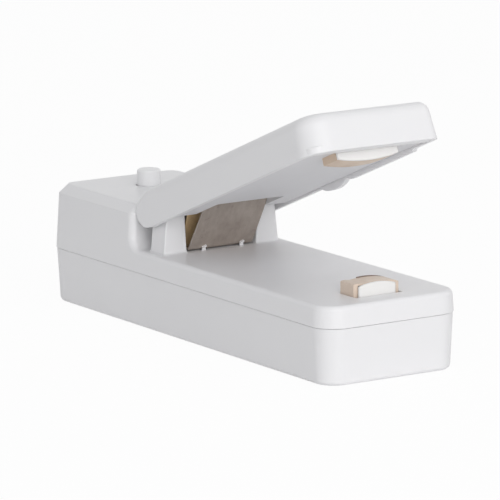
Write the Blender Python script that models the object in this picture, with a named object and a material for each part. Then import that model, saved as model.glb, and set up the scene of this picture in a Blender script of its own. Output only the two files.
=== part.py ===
"""Handheld bag sealer: a two-part plastic body on two AA cells, with a sprung pressing lever.

Metres, +Z up, +X towards the sealing end, origin at the middle of the base.
"""
import math

import bmesh
import bpy
from mathutils import Vector

for leftover in list(bpy.data.objects):
    bpy.data.objects.remove(leftover, do_unlink=True)

# Clearances and the one overrun that serves all cuts
gap = 0.0003              # between pieces that lie on each other
skin_gap = 0.00015        # between the thin skins over the sealing blocks
overrun = 0.0010
round_steps = 16
corner_steps = 6
arch_steps = 10

# Body: plan, heights, drafts
nose_length = 0.0232      # front contact wall's rear face to the body's front end
side_room = 0.0036        # cells to the body's sides
deck_band = 0.0048        # parting line up to the deck
block_rise = 0.0101       # deck up to the top of the raised block
block_length = 0.0376     # rear end to the front face of the raised block
corner_radius = 0.0058
upper_draft_share = 0.066  # how far a wall draws in for each unit of height
lower_draft_share = 0.052
parting_step = 0.00015    # the lower half stands back at the parting line
base_fillet = 0.0010
deck_fillet = 0.0011
block_fillet = 0.0017     # inside corners of the block's hollow
block_chamfer = 0.0021
deck_cove = 0.0034        # hollow curve from the deck up to the block
case_wall = 0.0015
floor_thickness = 0.0014
lip_height = 0.0011       # lip of the upper half that drops inside the lower half's wall
lip_width = 0.0007

# Hinge posts on the deck
post_ahead = 0.0110       # front face of the raised block to the posts' front faces
post_depth = 0.0060
post_margin = 0.00266     # parting outline in to a post's outer face, at the deck
post_width = 0.00626
post_outer_draft_share = 0.104
post_inner_draft_share = 0.055
hinge_rise = 0.0090       # deck up to the pin's axis
pin_radius = 0.00125
pin_bite = 0.0007         # how far the pin's ends enter the lever's cheeks
post_crown = 0.0029       # height of the post's top above the pin's axis

# Lever, in its own frame: u along it from the pin, v square to its rim
lever_open_deg = 21.7
lever_setback = 0.00257   # body's front end to the closed lever's tip
lever_tail = 0.0076       # pin to rear end
lever_rim_drop = 0.00235  # pin down to the rim
lever_thickness = 0.0091
lever_margin = 0.0013     # body's side to the lever's side
lever_draft_share = 0.063
lever_corner = 0.0062
lever_far_corner = 0.0024  # front corner on the far side
lever_tail_corner = 0.0020
lever_fillet = 0.0026
lever_wall = 0.0013
tail_top_length = 0.0090  # how far the tail's upper curve runs
tail_low_length = 0.0050
tail_way = 0.0052         # pin back to the edge of the way for the posts
rim_step_height = 0.0006  # low step along the far rim
rim_step_start = 0.0338   # measured from the pin
rim_step_length = 0.0280
rim_lug_height = 0.0013
rim_lug_start = 0.0222
rim_lug_length = 0.0104
rim_lug_power = 0.6       # the lower this is, the fuller the lug's curve
cover_thickness = 0.0014
cover_recess = 0.0001
cover_rear = 0.00643      # pin to the rear edge of the lever's cover
notch_length = 0.0100

# Sealing blocks
heater_setback = 0.0063   # body's front end to the block's front face
heater_length = 0.0063
heater_half = 0.0053
heater_side = 0.00225     # height over the deck at the sides of the arch
heater_crown = 0.0030
heater_depth = 0.0052     # how far it reaches below the deck
heater_flange = 0.0012
flange_thickness = 0.0012
face_lip = 0.0009         # front lip that the tape ends at
ribbon_thickness = 0.00015
ribbon_width = 0.0020
tape_thickness = 0.0003
tape_end = 0.0012         # thickness where the tape is tucked down the ends
tape_tuck = 0.0014        # how far the tape reaches below the deck
pad_half = 0.0080
pad_side = 0.00135        # height under the rim at the ends
pad_crown = 0.00225
pad_setback = 0.0042      # lever tip to the pad's front face
pad_length = 0.0065
pad_root = 0.0010         # thickness of the pad's root inside the lever
pad_root_rim = 0.0008

# Leaf spring and brass contact
leaf_thickness = 0.0004
leaf_side_gap = 0.00063   # leaf to each post, at the deck
leaf_foot = 0.0026
leaf_lean_deg = 28.0
leaf_height = 0.0192
barb_height = 0.0011
barb_width = 0.0014
barb_length = 0.0008
barb_spacing = 0.0096
brass_margin = 0.0008     # leaf's edge in to the brass plate's edge
brass_height = 0.0066
brass_foot = 0.0026
brass_lean_deg = 24.0

# Push button, its spring and its switch
button_setback = 0.0167   # body's rear end to the button's axis
button_radius = 0.00281
button_height = 0.0038    # over the block's top
button_edge = 0.0005
button_travel = 0.0014
button_flange = 0.0011
flange_depth = 0.0012
stem_radius = 0.0013
spring_room = 0.0042      # button's flange to the top of the switch
switch_width = 0.0060
switch_height = 0.0036
plunger_radius = 0.0011
plunger_height = 0.0008
spring_wire_radius = 0.0002
spring_radius = 0.0025
spring_turns = 3.0
tower_wall = 0.0014

# Cells and their contacts
bay_ahead = 0.0034        # front face of the raised block to the rear contact wall's front face
cell_radius = 0.00725
cell_length = 0.0505
nub_radius = 0.00275
nub_height = 0.0010
cell_edge = 0.0006
cell_spacing = 0.0150
contact_thickness = 0.0004
contact_width = 0.0110
contact_height = 0.0078
coil_wire_radius = 0.0003
coil_large = 0.0040
coil_small = 0.0022
coil_room = 0.0036
coil_turns = 3.0

# Battery door, in the base
door_margin = 0.00375     # parting outline in to the door's side
door_recess = 0.0002
door_tab_length = 0.0014
door_tab_width = 0.0050
door_tab_spacing = 0.0180
door_tab_lift = 0.0009    # room for the tab when the door swings
latch_width = 0.0044
latch_height = 0.0034
latch_thickness = 0.0009
dip_width = 0.0100
dip_length = 0.0050
dip_depth = 0.0006
rib_height = 0.0005
rib_width = 0.0006

# Screws and their pillars
screw_inset_front = 0.0095
screw_inset_rear = 0.0080
screw_inset_side = 0.00655
pillar_radius = 0.0024
screw_radius = 0.0010
screw_head_radius = 0.0018
screw_head_height = 0.0012
screw_head_depth = 0.0010  # base up to the underside of the head's flat face
screw_length = 0.0130
recess_radius = 0.0008
recess_depth = 0.0006

# Leads to the heater
wire_radius = 0.00055
wire_margin = 0.00375     # parting outline in to the lead's axis
wire_drop = 0.0019        # deck's underside down to the lead's axis
wire_end_drop = 0.0027
wire_turn = 0.0040

# Worked out from the sizes above
bay_length = gap + contact_thickness + gap + cell_length + coil_room + contact_thickness + gap
body_length = block_length + bay_ahead + bay_length + nose_length
half_length = body_length / 2
half_width = cell_spacing / 2 + cell_radius + side_room
deck_height = floor_thickness + gap + 2 * cell_radius + gap + case_wall
parting_height = deck_height - deck_band
block_height = deck_height + block_rise
block_front = -half_length + block_length
deck_under = deck_height - case_wall
block_under = block_height - case_wall
wall_top = parting_height - gap
post_front = block_front + post_ahead
post_rear = post_front - post_depth
post_inner = half_width - post_margin - post_width
hinge_x = (post_front + post_rear) / 2
hinge_height = deck_height + hinge_rise
lever_half = half_width - lever_margin
lever_reach = half_length - lever_setback - hinge_x
leaf_front = post_front - gap
leaf_half = post_inner - leaf_side_gap
notch_half = leaf_half + gap
heater_front = half_length - heater_setback
button_x = -half_length + button_setback
bay_rear = block_front + bay_ahead
lever_top = lever_thickness - lever_rim_drop
lever_middle = lever_thickness / 2 - lever_rim_drop
cell_height = floor_thickness + gap + cell_radius
contact_face = bay_rear + gap + contact_thickness
bay_front = bay_rear + bay_length
door_rear = bay_rear + gap
door_front = bay_front - gap
door_half = half_width - door_margin
button_seat = block_under - gap - flange_depth
switch_top = button_seat - spring_room
tower_top = switch_top - switch_height - gap
head_seat = screw_head_depth + screw_head_height
skin_stack = ribbon_thickness + 2 * skin_gap + tape_thickness
screw_x_rear = -half_length + screw_inset_rear
screw_x_front = half_length - screw_inset_front
screw_y = half_width - screw_inset_side
pillars = [(x, y) for x in (screw_x_rear, screw_x_front) for y in (-screw_y, screw_y)]
wire_y = half_width - wire_margin
wire_height = deck_under - wire_drop
wire_end_height = deck_under - wire_end_drop


def material(name, colour, roughness, metallic=0.0):
    """A Principled material with one colour."""
    made = bpy.data.materials.new(name)
    made.use_nodes = True
    shader = made.node_tree.nodes["Principled BSDF"]
    shader.inputs["Base Color"].default_value = (*colour, 1.0)
    shader.inputs["Roughness"].default_value = roughness
    shader.inputs["Metallic"].default_value = metallic
    return made


white_plastic = material("white_plastic", (0.86, 0.86, 0.87), 0.38)
white_ceramic = material("white_ceramic", (0.90, 0.90, 0.88), 0.45)
white_rubber = material("white_rubber", (0.88, 0.87, 0.85), 0.55)
beige_tape = material("beige_tape", (0.72, 0.56, 0.43), 0.50)
spring_steel = material("spring_steel", (0.36, 0.32, 0.29), 0.35, 0.9)
brass = material("brass", (0.62, 0.42, 0.18), 0.35, 1.0)
bright_steel = material("bright_steel", (0.62, 0.62, 0.63), 0.25, 1.0)
cell_skin = material("cell_skin", (0.20, 0.22, 0.25), 0.35)
switch_plastic = material("switch_plastic", (0.05, 0.05, 0.05), 0.50)
wire_skin = material("wire_skin", (0.55, 0.05, 0.04), 0.45)


def finish(name, builder, skin, smooth_deg=35.0):
    """Turn a bmesh into a named object with its material, shaded smooth below an angle."""
    bmesh.ops.recalc_face_normals(builder, faces=builder.faces)
    mesh = bpy.data.meshes.new(name)
    builder.to_mesh(mesh)
    builder.free()
    made = bpy.data.objects.new(name, mesh)
    bpy.context.scene.collection.objects.link(made)
    if skin:
        mesh.materials.append(skin)
    mesh.shade_smooth()
    mesh.set_sharp_from_angle(angle=math.radians(smooth_deg))
    return made


def loft(name, loops, skin=None, closed=False):
    """A solid through loops of equal point counts: capped at both ends, or closed on itself."""
    builder = bmesh.new()
    rings = [[builder.verts.new(point) for point in loop] for loop in loops]
    count = len(rings[0])
    pairs = list(zip(rings, rings[1:]))
    if closed:
        pairs.append((rings[-1], rings[0]))
    for low, high in pairs:
        for k in range(count):
            after = (k + 1) % count
            builder.faces.new((low[k], low[after], high[after], high[k]))
    if not closed:
        builder.faces.new(list(reversed(rings[0])))
        builder.faces.new(rings[-1])
    return finish(name, builder, skin)


def prism(name, outline, axis, low, high, skin=None):
    """An outline in the other two axes, extruded from low to high along axis 0, 1 or 2."""
    def place(point, along):
        spot = list(point)
        spot.insert(axis, along)
        return Vector(spot)
    return loft(name, [[place(p, low) for p in outline], [place(p, high) for p in outline]], skin)


def box(name, low, high, skin=None):
    """An upright box between two corners."""
    outline = [(low[0], low[1]), (high[0], low[1]), (high[0], high[1]), (low[0], high[1])]
    return prism(name, outline, 2, low[2], high[2], skin)


def turned(name, profile, centre, skin=None, steps=round_steps, axis=2):
    """A solid of revolution about an axis through centre: profile holds (radius, along) pairs."""
    rings = []
    for radius, along in profile:
        ring = []
        for k in range(steps):
            angle = 2 * math.pi * k / steps
            spot = [radius * math.cos(angle), radius * math.sin(angle)]
            spot.insert(axis, along)
            ring.append(Vector(spot) + Vector(centre))
        rings.append(ring)
    return loft(name, rings, skin)


def rounded_plan(rear, front, half, rear_radius, front_radius, z, far_radius=None):
    """One loop of a rounded rectangle in plan; the far front corner may have its own radius."""
    far_radius = front_radius if far_radius is None else far_radius
    loop = []
    corners = (
        (rear, -half, rear_radius, 180, 1, 1),
        (front, -half, front_radius, 270, -1, 1),
        (front, half, far_radius, 0, -1, -1),
        (rear, half, rear_radius, 90, 1, -1),
    )
    for x, y, radius, start, to_x, to_y in corners:
        for k in range(corner_steps + 1):
            angle = math.radians(start + 90 * k / corner_steps)
            loop.append(Vector((
                x + to_x * radius + radius * math.cos(angle),
                y + to_y * radius + radius * math.sin(angle),
                z)))
    return loop


def body_loop(z, inset):
    """The body's plan outline at a height, drawn in by an inset."""
    radius = corner_radius - inset
    return rounded_plan(
        -half_length + inset, half_length - inset, half_width - inset, radius, radius, z)


def fillet_rows(radius, count=3):
    """(inset, height left) pairs round a quarter circle, from the wall to the flat."""
    angles = [math.pi / 2 * k / count for k in range(count + 1)]
    return [(radius * (1 - math.cos(a)), radius * (1 - math.sin(a))) for a in angles]


def carve(target, operation, tool):
    """Apply one exact Boolean and remove the tool."""
    change = target.modifiers.new(operation.lower(), "BOOLEAN")
    change.operation = operation
    change.object = tool
    change.solver = "EXACT"
    evaluated = target.evaluated_get(bpy.context.evaluated_depsgraph_get())
    mesh = bpy.data.meshes.new_from_object(evaluated)
    target.modifiers.clear()
    target.data = mesh
    bpy.data.objects.remove(tool, do_unlink=True)


def cut(target, tool):
    carve(target, "DIFFERENCE", tool)


def add(target, tool):
    carve(target, "UNION", tool)


def keep(target, tool):
    carve(target, "INTERSECT", tool)


def bevel_edges(target, chosen, width, segments):
    """Bevel the edges of a mesh that a test picks out."""
    builder = bmesh.new()
    builder.from_mesh(target.data)
    bmesh.ops.dissolve_limit(
        builder, angle_limit=math.radians(0.5), verts=builder.verts, edges=builder.edges)
    edges = [edge for edge in builder.edges if edge.is_manifold and chosen(edge)]
    bmesh.ops.bevel(
        builder, geom=edges, offset=width, offset_type="OFFSET", segments=segments,
        profile=0.5, affect="EDGES", clamp_overlap=True)
    builder.to_mesh(target.data)
    builder.free()
    target.data.shade_smooth()
    target.data.set_sharp_from_angle(angle=math.radians(35.0))


def tube(name, points, radius, skin, sides=6):
    """A round wire along points, with flat ends, as a loft of rings that don't twist."""
    rings = []
    spots = [Vector(point) for point in points]
    side = None
    for k, spot in enumerate(spots):
        ahead = (spots[min(k + 1, len(spots) - 1)] - spots[max(k - 1, 0)]).normalized()
        if side is None:
            steep = abs(ahead.z) > math.sqrt(0.5)
            side = ahead.cross(Vector((1, 0, 0)) if steep else Vector((0, 0, 1))).normalized()
        side = (side - ahead * side.dot(ahead)).normalized()
        other = ahead.cross(side)
        ring = []
        for j in range(sides):
            angle = 2 * math.pi * j / sides
            ring.append(spot + radius * (side * math.cos(angle) + other * math.sin(angle)))
        rings.append(ring)
    return loft(name, rings, skin)


def coil_points(centre, axis, start, length, first_radius, last_radius, turns, steps=9):
    """Points of a helix along an axis, its radius going evenly from first to last."""
    points = []
    total = int(turns * steps)
    for k in range(total + 1):
        share = k / total
        angle = 2 * math.pi * turns * share
        radius = first_radius + (last_radius - first_radius) * share
        spot = [radius * math.cos(angle), radius * math.sin(angle)]
        spot.insert(axis, start + length * share)
        points.append(Vector(spot) + Vector(centre))
    return points


def smooth_route(corners, turn, steps=4):
    """Straight runs between corners, each corner rounded by a parabola that starts a turn away."""
    spots = [Vector(corner) for corner in corners]
    route = [spots[0]]
    for before, here, after in zip(spots, spots[1:], spots[2:]):
        into = here + (before - here).normalized() * turn
        out = here + (after - here).normalized() * turn
        for k in range(steps + 1):
            share = k / steps
            route.append(into.lerp(here, share).lerp(here.lerp(out, share), share))
    route.append(spots[-1])
    return route


def lower_inset(z):
    """How far the lower half's wall stands inside the parting outline at a height."""
    return parting_step + lower_draft_share * (parting_height - z)


def upper_inset(z):
    """How far the upper half's wall stands inside the parting outline at a height."""
    return upper_draft_share * (z - parting_height)


def build_lower_case():
    """Lower half: drafted tub with a door opening, contact walls, pillars and a switch tower."""
    rows = list(reversed(fillet_rows(base_fillet)))
    loops = [body_loop(up, lower_inset(up) + inset) for inset, up in rows]
    loops.append(body_loop(wall_top, lower_inset(wall_top)))
    case = loft("lower_case", loops, white_plastic)
    rim = parting_height + overrun
    cut(case, loft("tub", [
        body_loop(floor_thickness, lower_inset(floor_thickness) + case_wall),
        body_loop(rim, lower_inset(rim) + case_wall)]))
    # walls that carry the contact sheets
    rooted = floor_thickness / 2
    wall_half = half_width - lower_inset(floor_thickness) - case_wall / 2
    bay_top = parting_height - lip_height - gap
    for low_x, high_x in ((bay_rear - case_wall, bay_rear), (bay_front, bay_front + case_wall)):
        add(case, box("contact_wall", (low_x, -wall_half, rooted), (high_x, wall_half, bay_top)))
    for x, y in pillars:
        add(case, turned("pillar", [(pillar_radius, rooted), (pillar_radius, wall_top)], (x, y, 0)))
    # square tower that the switch stands on
    tower_half = switch_width / 2
    core = tower_half - tower_wall
    add(case, box("tower", (button_x - tower_half, -tower_half, rooted),
                  (button_x + tower_half, tower_half, tower_top)))
    cut(case, box("tower_core", (button_x - core, -core, floor_thickness),
                  (button_x + core, core, tower_top + overrun)))
    for x, y in pillars:
        cut(case, turned("screw_way", [(screw_radius + gap, -overrun),
                                       (screw_radius + gap, wall_top + overrun)], (x, y, 0)))
        cut(case, turned("head_way", [(screw_head_radius + gap, -overrun),
                                      (screw_head_radius + gap, head_seat + gap)], (x, y, 0)))
    # opening for the door, ways for its front tabs through the contact wall, finger dip behind it
    cut(case, box("door_way", (door_rear - gap, -door_half - gap, -overrun),
                  (door_front + gap, door_half + gap, floor_thickness + overrun)))
    tab_top = floor_thickness + gap + floor_thickness / 2 + door_tab_lift
    for side in (-1, 1):
        middle = side * door_tab_spacing / 2
        reach = door_tab_width / 2 + gap
        cut(case, box("tab_way", (bay_front - overrun, middle - reach, floor_thickness),
                      (bay_front + case_wall + overrun, middle + reach, tab_top)))
    dip = rounded_plan(door_rear - dip_length, door_rear, dip_width / 2,
                       dip_length / 2, dip_length / 4, -overrun)
    cut(case, loft("finger_dip", [dip, [Vector((p.x, p.y, dip_depth)) for p in dip]]))
    return case


def build_upper_case():
    """Upper half: deck, raised block, hinge posts and barbs, hollow from below."""
    low = parting_height
    high = block_height + overrun
    case = loft("upper_case", [body_loop(low, upper_inset(low)), body_loop(high, upper_inset(high))],
                white_plastic)
    # side outline: deck, cove, block
    outline = [(-half_length - overrun, low), (half_length + overrun, low),
               (half_length + overrun, deck_height)]
    for k in range(corner_steps + 1):
        angle = math.radians(270 - 90 * k / corner_steps)
        outline.append((block_front + deck_cove + deck_cove * math.cos(angle),
                        deck_height + deck_cove + deck_cove * math.sin(angle)))
    outline += [(block_front, block_height), (-half_length - overrun, block_height)]
    keep(case, prism("side_outline", outline, 1, -half_width - overrun, half_width + overrun))
    near = overrun / 10

    def on_block_top(edge):
        sharp = edge.calc_face_angle(0) > math.radians(40)
        return sharp and all(abs(v.co.z - block_height) < near for v in edge.verts)

    def on_shoulder(edge):
        sharp = edge.calc_face_angle(0) > math.radians(40)
        above = all(v.co.z > deck_height - near for v in edge.verts)
        ahead = all(v.co.x > block_front - near for v in edge.verts)
        across = all(abs(v.co.y) < half_width / 2 for v in edge.verts)
        in_chamfer = all(v.co.z > block_height - block_chamfer - near for v in edge.verts)
        return sharp and above and ahead and not across and not in_chamfer

    bevel_edges(case, on_block_top, block_chamfer, 1)
    bevel_edges(case, on_shoulder, deck_fillet, 3)
    # hollow of the deck, and of the block
    roof = deck_under
    cut(case, loft("deck_hollow", [
        body_loop(low - overrun, upper_inset(low - overrun) + case_wall),
        body_loop(roof, upper_inset(roof) + case_wall)]))
    top = block_under
    shoulder = top - block_chamfer / 2
    hollow = []
    for z, narrow in ((roof - overrun, 0), (shoulder, 0), (top, block_chamfer / 2)):
        inset = upper_inset(z) + case_wall + gap + narrow
        hollow.append(rounded_plan(-half_length + inset, block_front - case_wall - narrow,
                                   half_width - inset, corner_radius - inset, block_fillet, z))
    cut(case, loft("block_hollow", hollow))
    # lip with a root on the wall's inner face
    outer = parting_step + case_wall + gap
    inner = outer + lip_width
    root = case_wall / 2
    section = [(outer, low - lip_height), (inner, low - lip_height), (inner, low + lip_height),
               (root, low + lip_height), (root, low + gap), (outer, low + gap)]
    add(case, loft("lip", [body_loop(z, inset) for inset, z in section], closed=True))
    # screw pillars that meet those of the lower half
    for x, y in pillars:
        roof = block_under if x < block_front else deck_under
        add(case, turned("pillar", [(pillar_radius, low), (pillar_radius, roof + case_wall / 2)],
                         (x, y, 0)))
        tip = head_seat + screw_length + gap
        cut(case, turned("screw_way", [(screw_radius + gap, low - overrun),
                                       (screw_radius + gap, tip)], (x, y, 0)))
    for side in (-1, 1):
        add(case, build_post(side))
        middle = side * barb_spacing / 2
        add(case, prism("barb", barb_outline(), 1, middle - barb_width / 2, middle + barb_width / 2))
    # ways for the pin, the button and the heater block
    cut(case, turned("pin_way", [(pin_radius + gap, -half_width), (pin_radius + gap, half_width)],
                     (hinge_x, 0, hinge_height), axis=1))
    cut(case, turned("button_way", [(button_radius + gap, block_under - overrun),
                                    (button_radius + gap, block_height + overrun)],
                     (button_x, 0, 0), steps=2 * round_steps))
    well_half = heater_half + tape_end + gap
    cut(case, box("heater_way",
                  (heater_front - heater_length - gap, -well_half, deck_under - overrun),
                  (heater_front + gap, well_half, deck_height + overrun)))
    return case


def build_post(side):
    """One hinge post: tapered in its width, with a round crown about the pin."""
    outline = [(post_rear, deck_under + case_wall / 2), (post_front, deck_under + case_wall / 2)]
    for k in range(2 * corner_steps + 1):
        angle = math.pi * k / (2 * corner_steps)
        outline.append((hinge_x + post_depth / 2 * math.cos(angle),
                        hinge_height + post_crown * math.sin(angle)))

    def outer(z):
        return side * (post_inner + post_width - post_outer_draft_share * (z - deck_height))

    def inner(z):
        return side * (post_inner + post_inner_draft_share * (z - deck_height))

    return loft("post", [[Vector((x, edge(z), z)) for x, z in outline] for edge in (inner, outer)])


def barb_outline():
    """A small hook in front of the leaf's foot, its top sloping forward and down."""
    base_x = leaf_front + leaf_thickness + gap
    foot = deck_height - case_wall / 2
    return [(base_x, foot), (base_x + barb_length, foot), (base_x + barb_length, deck_height),
            (base_x + barb_length / 2, deck_height + barb_height),
            (base_x + barb_length / 4, deck_height + barb_height),
            (base_x, deck_height + barb_height / 4)]


def build_battery_door():
    """Door: flat plate with two front tabs, a rear latch tongue and stiffening ribs inside."""
    top = floor_thickness
    door = box("battery_door", (door_rear, -door_half, door_recess), (door_front, door_half, top),
               white_plastic)
    half_top = top / 2
    for side in (-1, 1):
        middle = side * door_tab_spacing / 2
        outline = [(door_front - door_tab_length, half_top),
                   (door_front - gap, half_top), (door_front - gap, top + gap),
                   (door_front + door_tab_length, top + gap),
                   (door_front + door_tab_length, top + gap + half_top),
                   (door_front - door_tab_length, top + gap + half_top)]
        add(door, prism("tab", outline, 1, middle - door_tab_width / 2, middle + door_tab_width / 2))
    # tongue between the cells, with a nib that faces the rear wall
    tongue = [(door_rear, half_top), (door_rear + latch_thickness, half_top),
              (door_rear + latch_thickness, latch_height), (door_rear + latch_thickness / 2, latch_height),
              (door_rear, latch_height - latch_thickness)]
    add(door, prism("tongue", tongue, 1, -latch_width / 2, latch_width / 2))
    # ribs in the three channels that the cells leave
    for middle in (-door_half + rib_width, 0, door_half - rib_width):
        add(door, box("rib", (door_rear + latch_thickness + gap, middle - rib_width / 2, half_top),
                      (door_front - 2 * door_tab_length, middle + rib_width / 2, top + rib_height)))
    return door


def arch_circle(half, side, crown):
    """Radius of the circle through an arch's two sides and its crown, and the centre's height."""
    rise = crown - side
    radius = (half * half + rise * rise) / (2 * rise)
    return radius, crown - radius


def arch_outline(half, radius, centre, foot, up):
    """Closed outline (y, height): flat foot at a height, arched on the other side. up is 1 or -1."""
    outline = [(half, up * foot), (-half, up * foot)]
    for k in range(arch_steps + 1):
        y = -half + 2 * half * k / arch_steps
        outline.append((y, up * (centre + math.sqrt(radius * radius - y * y))))
    return outline


def strap_outline(inner_half, end, inner_radius, thickness, centre, foot, up):
    """Closed outline (y, height) of a strap over an arch, thicker down its two ends."""
    outer_half = inner_half + end
    outer_radius = inner_radius + thickness
    outline = []
    for k in range(arch_steps + 1):
        y = -outer_half + 2 * outer_half * k / arch_steps
        outline.append((y, centre + math.sqrt(outer_radius * outer_radius - y * y)))
    outline += [(outer_half, foot), (inner_half, foot)]
    for k in range(arch_steps + 1):
        y = inner_half - 2 * inner_half * k / arch_steps
        outline.append((y, centre + math.sqrt(inner_radius * inner_radius - y * y)))
    outline += [(-inner_half, foot), (-outer_half, foot)]
    return [(y, up * height) for y, height in outline]


def raised(outline, z):
    """An outline of (y, height) pairs moved up by z."""
    return [(y, height + z) for y, height in outline]


def build_heater():
    """Arched heater block with its ribbon and the tape strap over both."""
    radius, centre = arch_circle(heater_half, heater_side, heater_crown)
    rear = heater_front - heater_length
    lip = heater_front - face_lip
    inner_half = heater_half - skin_stack
    core = arch_outline(inner_half, radius - skin_stack, centre, -heater_depth, 1)
    face = arch_outline(heater_half, radius, centre, -case_wall, 1)
    block = prism("heater_block", raised(core, deck_height), 0, rear, lip + face_lip / 2, white_ceramic)
    add(block, prism("face", raised(face, deck_height), 0, lip, heater_front))
    ledge = deck_under - gap
    add(block, box("flange", (rear - heater_flange, -inner_half, ledge - flange_thickness),
                   (heater_front + heater_flange, inner_half, ledge)))
    middle = (rear + lip) / 2
    ribbon = strap_outline(inner_half + skin_gap, ribbon_thickness, radius - skin_stack + skin_gap,
                           ribbon_thickness, centre, -heater_depth + flange_thickness, 1)
    prism("heating_ribbon", raised(ribbon, deck_height), 0,
          middle - ribbon_width / 2, middle + ribbon_width / 2, bright_steel)
    tape = strap_outline(heater_half - tape_thickness, tape_end, radius - tape_thickness,
                         tape_thickness, centre, -tape_tuck, 1)
    prism("lower_tape", raised(tape, deck_height), 0, rear, lip - gap, beige_tape)
    return block


def build_cell(name, side, low, nub_ahead):
    """One AA cell along X: can with eased edges and a nub at its positive end."""
    can = cell_length - nub_height
    profile = [(cell_radius - cell_edge, 0), (cell_radius, cell_edge), (cell_radius, can - cell_edge),
               (cell_radius - cell_edge, can), (nub_radius, can), (nub_radius, cell_length)]
    if nub_ahead:
        profile = [(radius, low + along) for radius, along in profile]
    else:
        profile = [(radius, low + cell_length - along) for radius, along in reversed(profile)]
    return turned(name, profile, (0, side * cell_spacing / 2, cell_height), cell_skin, axis=0)


def build_cells():
    """Two cells, the contact sheets at their ends and a coil spring at each negative end."""
    first = contact_face + gap
    far_face = bay_front - gap - contact_thickness
    build_cell("cell_left", -1, far_face - gap - cell_length, True)
    build_cell("cell_right", 1, first, False)
    low = cell_height - contact_height / 2
    high = cell_height + contact_height / 2
    for name, side in (("negative_contact", -1), ("positive_contact", 1)):
        middle = side * cell_spacing / 2
        box(name, (bay_rear + gap, middle - contact_width / 2, low),
            (contact_face, middle + contact_width / 2, high), bright_steel)
    reach = cell_spacing / 2 + contact_width / 2
    box("bridge_contact", (far_face, -reach, low), (bay_front - gap, reach, high), bright_steel)
    run = coil_room - 2 * gap - 2 * coil_wire_radius
    rear_start = contact_face + gap + coil_wire_radius
    tube("rear_contact_spring",
         coil_points((0, -cell_spacing / 2, cell_height), 0, rear_start, run,
                     coil_large, coil_small, coil_turns), coil_wire_radius, bright_steel)
    front_start = far_face - gap - coil_wire_radius
    tube("front_contact_spring",
         coil_points((0, cell_spacing / 2, cell_height), 0, front_start, -run,
                     coil_large, coil_small, coil_turns), coil_wire_radius, bright_steel)


def build_screws():
    """Four pan-head screws with cross recesses, on one mesh."""
    seat = head_seat
    edge = screw_head_height / 4
    profile = [(screw_head_radius - edge, screw_head_depth), (screw_head_radius, screw_head_depth + edge),
               (screw_head_radius, seat), (screw_radius, seat),
               (screw_radius, seat + screw_length - screw_radius),
               (screw_radius / 4, seat + screw_length)]
    screw = turned("case_screw_1", profile, (0, 0, 0), bright_steel, steps=12)
    for long, short in ((recess_radius, recess_radius / 4), (recess_radius / 4, recess_radius)):
        cut(screw, box("recess", (-long, -short, screw_head_depth - overrun),
                       (long, short, screw_head_depth + recess_depth)))
    screws = [screw] + [bpy.data.objects.new(f"case_screw_{k}", screw.data) for k in (2, 3, 4)]
    for place, (x, y) in zip(screws, pillars):
        if place is not screw:
            bpy.context.scene.collection.objects.link(place)
        place.location = (x, y, 0)


def build_button():
    """Push button with its flange and stem, the switch below and the return spring between."""
    stem_end = switch_top + plunger_height + gap + button_travel
    top = block_height + button_height
    profile = [(stem_radius, stem_end), (stem_radius, button_seat),
               (button_radius + button_flange, button_seat),
               (button_radius + button_flange, button_seat + flange_depth),
               (button_radius, button_seat + flange_depth), (button_radius, top - button_edge)]
    profile += [(button_radius - inset, top - left) for inset, left in fillet_rows(button_edge)[1:]]
    button = turned("push_button", profile, (0, 0, 0), white_plastic, steps=2 * round_steps)
    button.location = (button_x, 0, 0)
    half = switch_width / 2
    switch = box("button_switch", (button_x - half, -half, switch_top - switch_height),
                 (button_x + half, half, switch_top), switch_plastic)
    add(switch, turned("plunger", [(plunger_radius, switch_top - plunger_height),
                                   (plunger_radius, switch_top + plunger_height)], (button_x, 0, 0)))
    start = switch_top + gap + spring_wire_radius
    run = spring_room - 2 * gap - 2 * spring_wire_radius
    tube("button_spring", coil_points((button_x, 0, 0), 2, start, run, spring_radius, spring_radius,
                                      spring_turns), spring_wire_radius, bright_steel)


def build_leaf(name, front, foot, height, lean_deg, half, skin):
    """A bent strip on the deck: a flat foot, then a blade that leans forward."""
    lean = math.tan(math.radians(lean_deg))
    slant = leaf_thickness / math.cos(math.radians(lean_deg))
    low = deck_height + gap
    inner = low + leaf_thickness
    outline = [(front - foot, low), (front, low), (front + height * lean, low + height),
               (front + height * lean - slant, low + height),
               (front + leaf_thickness * lean - slant, inner), (front - foot, inner)]
    return prism(name, outline, 1, -half, half, skin)


def build_wires():
    """Two leads from the switch along the body's sides to the ribbon's legs."""
    middle = heater_front - heater_length / 2 - face_lip / 2
    leg = heater_half - skin_stack + skin_gap + ribbon_thickness + gap
    start_z = switch_top - switch_height / 2
    for name, side in (("wire_left", -1), ("wire_right", 1)):
        corners = [
            (button_x + switch_width / 2 + gap, side * switch_width / 4, start_z),
            (button_x + switch_width, side * switch_width / 4, start_z),
            (button_x + 2 * switch_width, side * wire_y, wire_height),
            (middle - 3 * wire_turn, side * wire_y, wire_height),
            (middle - wire_turn, side * (leg + wire_turn / 2), wire_end_height),
            (middle, side * (leg + wire_turn / 2), wire_end_height),
            (middle, side * leg, wire_end_height)]
        tube(name, smooth_route(corners, wire_turn / 3), wire_radius, wire_skin)


def lever_inset(v):
    """How far the lever's wall stands inside its rim at a height above the pin's axis."""
    return lever_draft_share * (v + lever_rim_drop)


def lever_plan(v, inset, rear, front):
    """The lever's plan outline at v, drawn in by an inset; its far front corner stays round."""
    far = max(lever_far_corner - inset, lever_far_corner / 8)
    return rounded_plan(rear, front - inset, lever_half - inset,
                        lever_tail_corner, lever_corner - inset, v, far)


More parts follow.
